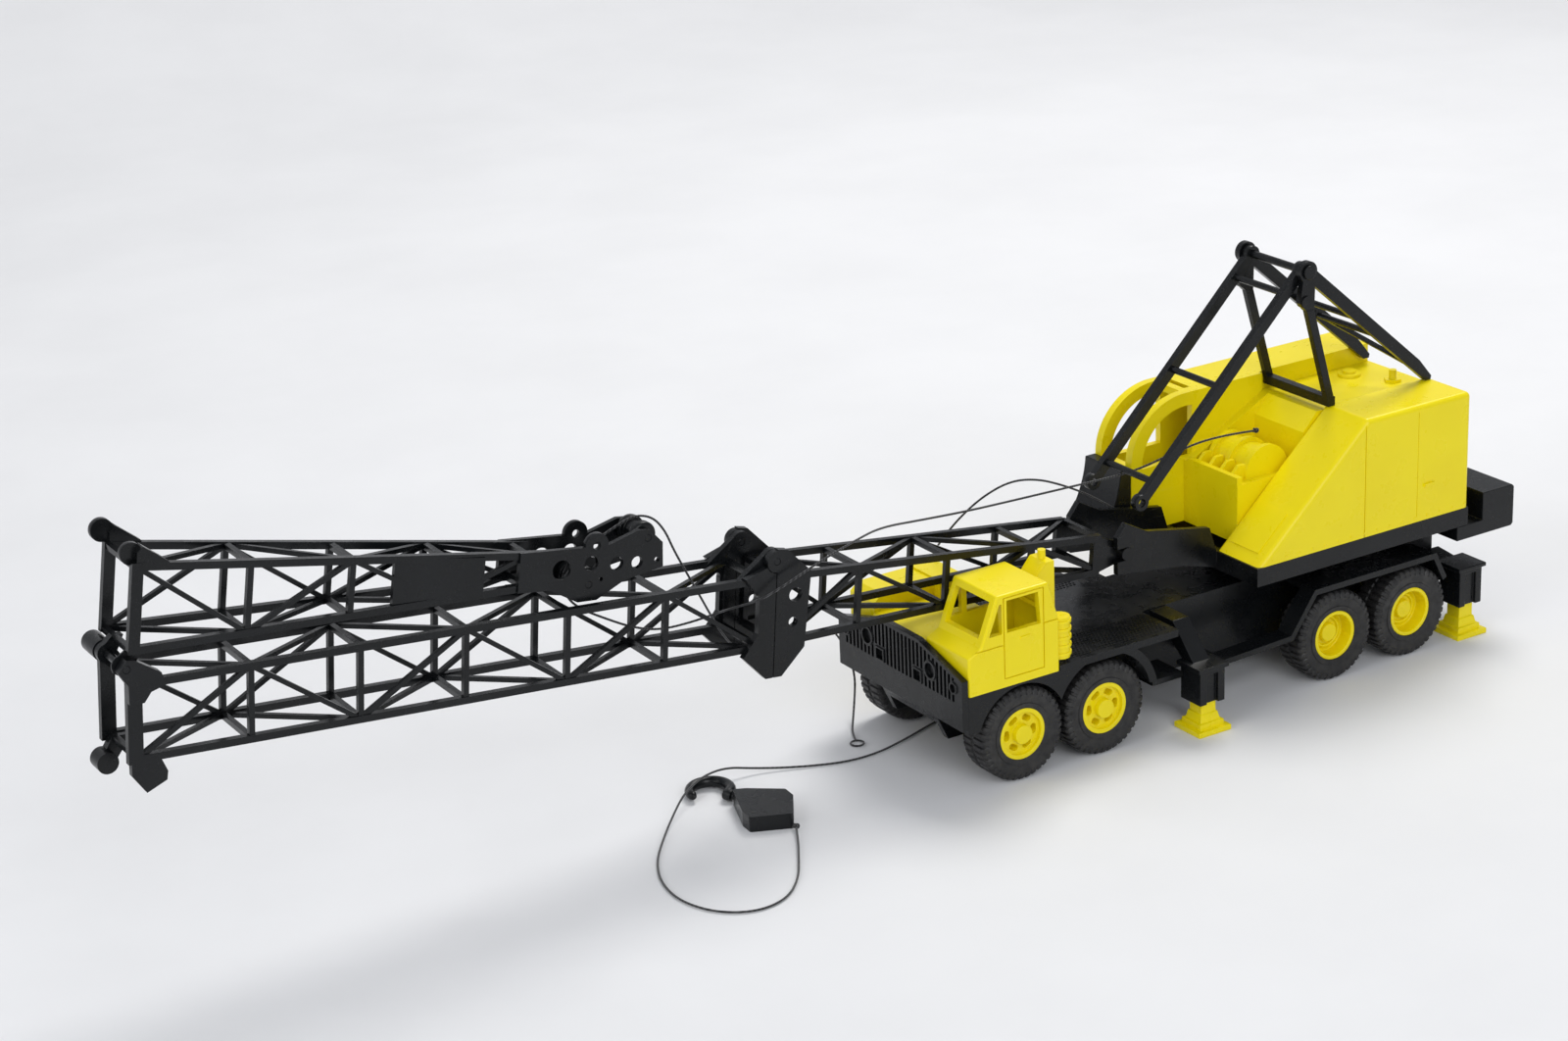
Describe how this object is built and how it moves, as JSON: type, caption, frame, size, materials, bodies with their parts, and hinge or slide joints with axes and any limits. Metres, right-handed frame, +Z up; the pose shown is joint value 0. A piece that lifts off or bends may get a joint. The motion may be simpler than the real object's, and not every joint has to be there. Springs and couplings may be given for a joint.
{
  "type": "toy crane truck",
  "caption": "Toy mobile crane with a folding lattice boom on a multi-axle carrier, slewing house, gantry, swinging mast, jacks, thread and hook block",
  "frame": {"origin": "middle of the object's footprint, on the floor that it stands on", "axes": "+X forward along the boom, +Y to the driver's side, +Z up"},
  "size_m": [0.344, 0.0739, 0.0982],
  "materials": {
    "yellow_plastic": "smooth injection-moulded yellow plastic, satin gloss",
    "black_plastic": "injection-moulded black plastic, slightly glossy",
    "tyre": "soft black plastic tyre with moulded tread blocks",
    "axle_steel": "plain steel wire",
    "thread": "twisted black cotton thread"
  },
  "bodies": {
    "carrier": {"carrier_frame": "black_plastic", "front_bumper": "black_plastic", "carrier_cab": "yellow_plastic", "turntable_ring": "black_plastic", "front_outrigger_left": "black_plastic", "front_outrigger_right": "black_plastic", "rear_outrigger_left": "black_plastic", "rear_outrigger_right": "black_plastic"},
    "front_jack_left": {"front_jack_left": "yellow_plastic"},
    "front_jack_right": {"front_jack_right": "yellow_plastic"},
    "rear_jack_left": {"rear_jack_left": "yellow_plastic"},
    "rear_jack_right": {"rear_jack_right": "yellow_plastic"},
    "wheelset_1": {"axle_1": "axle_steel", "hub_1_left": "yellow_plastic", "tyre_1_left": "tyre", "hub_1_right": "yellow_plastic", "tyre_1_right": "tyre"},
    "wheelset_2": {"axle_2": "axle_steel", "hub_2_left": "yellow_plastic", "tyre_2_left": "tyre", "hub_2_right": "yellow_plastic", "tyre_2_right": "tyre"},
    "wheelset_3": {"axle_3": "axle_steel", "hub_3_left": "yellow_plastic", "tyre_3_left": "tyre", "hub_3_right": "yellow_plastic", "tyre_3_right": "tyre"},
    "wheelset_4": {"axle_4": "axle_steel", "hub_4_left": "yellow_plastic", "tyre_4_left": "tyre", "hub_4_right": "yellow_plastic", "tyre_4_right": "tyre"},
    "superstructure": {"slew_pin": "black_plastic", "super_base": "black_plastic", "house_shell": "yellow_plastic", "cab_fairing": "black_plastic", "counterweight": "black_plastic", "gantry_front_frame": "black_plastic", "gantry_rear_frame": "black_plastic", "mast_pin": "black_plastic", "hook_line": "thread", "hook_line_knot": "thread", "hook_block": "black_plastic", "hoist_line": "thread", "hoist_line_knot": "thread", "hoist_line_eye": "thread"},
    "mast": {"live_mast": "black_plastic"},
    "boom_base": {"boom_base": "black_plastic", "joint_pins": "black_plastic"},
    "boom_mid": {"boom_mid": "black_plastic", "tip_hinge_pin": "black_plastic"},
    "boom_tip": {"boom_tip": "black_plastic", "head_sheave_pin": "black_plastic", "guide_sheave_pin": "black_plastic"},
    "head_sheave": {"head_sheave": "black_plastic"},
    "guide_sheave": {"guide_sheave": "black_plastic"},
    "hook": {"hook": "black_plastic"}
  },
  "joints": [
    {"name": "slew", "type": "hinge", "parent": "carrier", "child": "superstructure", "pos_m": [-0.115, 0, 0.0286], "axis": [0, 0, 1], "range_deg": [-330, 0], "deforming": ["hoist_line", "hook_line", "hoist_line_eye"]},
    {"name": "boom_luff", "type": "hinge", "parent": "superstructure", "child": "boom_base", "pos_m": [-0.067, 0, 0.039], "axis": [0, -1, 0], "range_deg": [0, 75]},
    {"name": "boom_fold", "type": "hinge", "parent": "boom_base", "child": "boom_mid", "pos_m": [0.02456, 0, 0.05949], "axis": [0, -1, 0], "range_deg": [0, 90]},
    {"name": "tip_fold", "type": "hinge", "parent": "boom_mid", "child": "boom_tip", "pos_m": [0.16761, 0, 0.07308], "axis": [0, 1, 0], "range_deg": [0, 184.2]},
    {"name": "mast_swing", "type": "hinge", "parent": "superstructure", "child": "mast", "pos_m": [-0.118, 0, 0.0957], "axis": [0, 1, 0], "range_deg": [-100, 0]},
    {"name": "wheel_spin_1", "type": "hinge", "parent": "carrier", "child": "wheelset_1", "pos_m": [-0.0267, 0, 0.011], "axis": [0, 1, 0], "continuous": true},
    {"name": "wheel_spin_2", "type": "hinge", "parent": "carrier", "child": "wheelset_2", "pos_m": [-0.0492, 0, 0.011], "axis": [0, 1, 0], "continuous": true},
    {"name": "wheel_spin_3", "type": "hinge", "parent": "carrier", "child": "wheelset_3", "pos_m": [-0.1164, 0, 0.011], "axis": [0, 1, 0], "continuous": true},
    {"name": "wheel_spin_4", "type": "hinge", "parent": "carrier", "child": "wheelset_4", "pos_m": [-0.1396, 0, 0.011], "axis": [0, 1, 0], "continuous": true},
    {"name": "front_jack_left_slide", "type": "slide", "parent": "carrier", "child": "front_jack_left", "axis": [0, 0, 1], "range_m": [0, 0.0025]},
    {"name": "front_jack_right_slide", "type": "slide", "parent": "carrier", "child": "front_jack_right", "axis": [0, 0, 1], "range_m": [0, 0.0025]},
    {"name": "rear_jack_left_slide", "type": "slide", "parent": "carrier", "child": "rear_jack_left", "axis": [0, 0, 1], "range_m": [0, 0.0025]},
    {"name": "rear_jack_right_slide", "type": "slide", "parent": "carrier", "child": "rear_jack_right", "axis": [0, 0, 1], "range_m": [0, 0.0025]},
    {"name": "head_sheave_spin", "type": "hinge", "parent": "boom_tip", "child": "head_sheave", "pos_m": [0.05298, 0, 0.07062], "axis": [0, 1, 0], "continuous": true},
    {"name": "guide_sheave_spin", "type": "hinge", "parent": "boom_tip", "child": "guide_sheave", "pos_m": [0.06743, 0, 0.06386], "axis": [0, 1, 0], "continuous": true},
    {"name": "hook_swivel", "type": "hinge", "parent": "superstructure", "child": "hook", "pos_m": [0.0299, -0.0039, 0.0015], "axis": [0.4226, -0.9063, 0], "continuous": true}
  ]
}
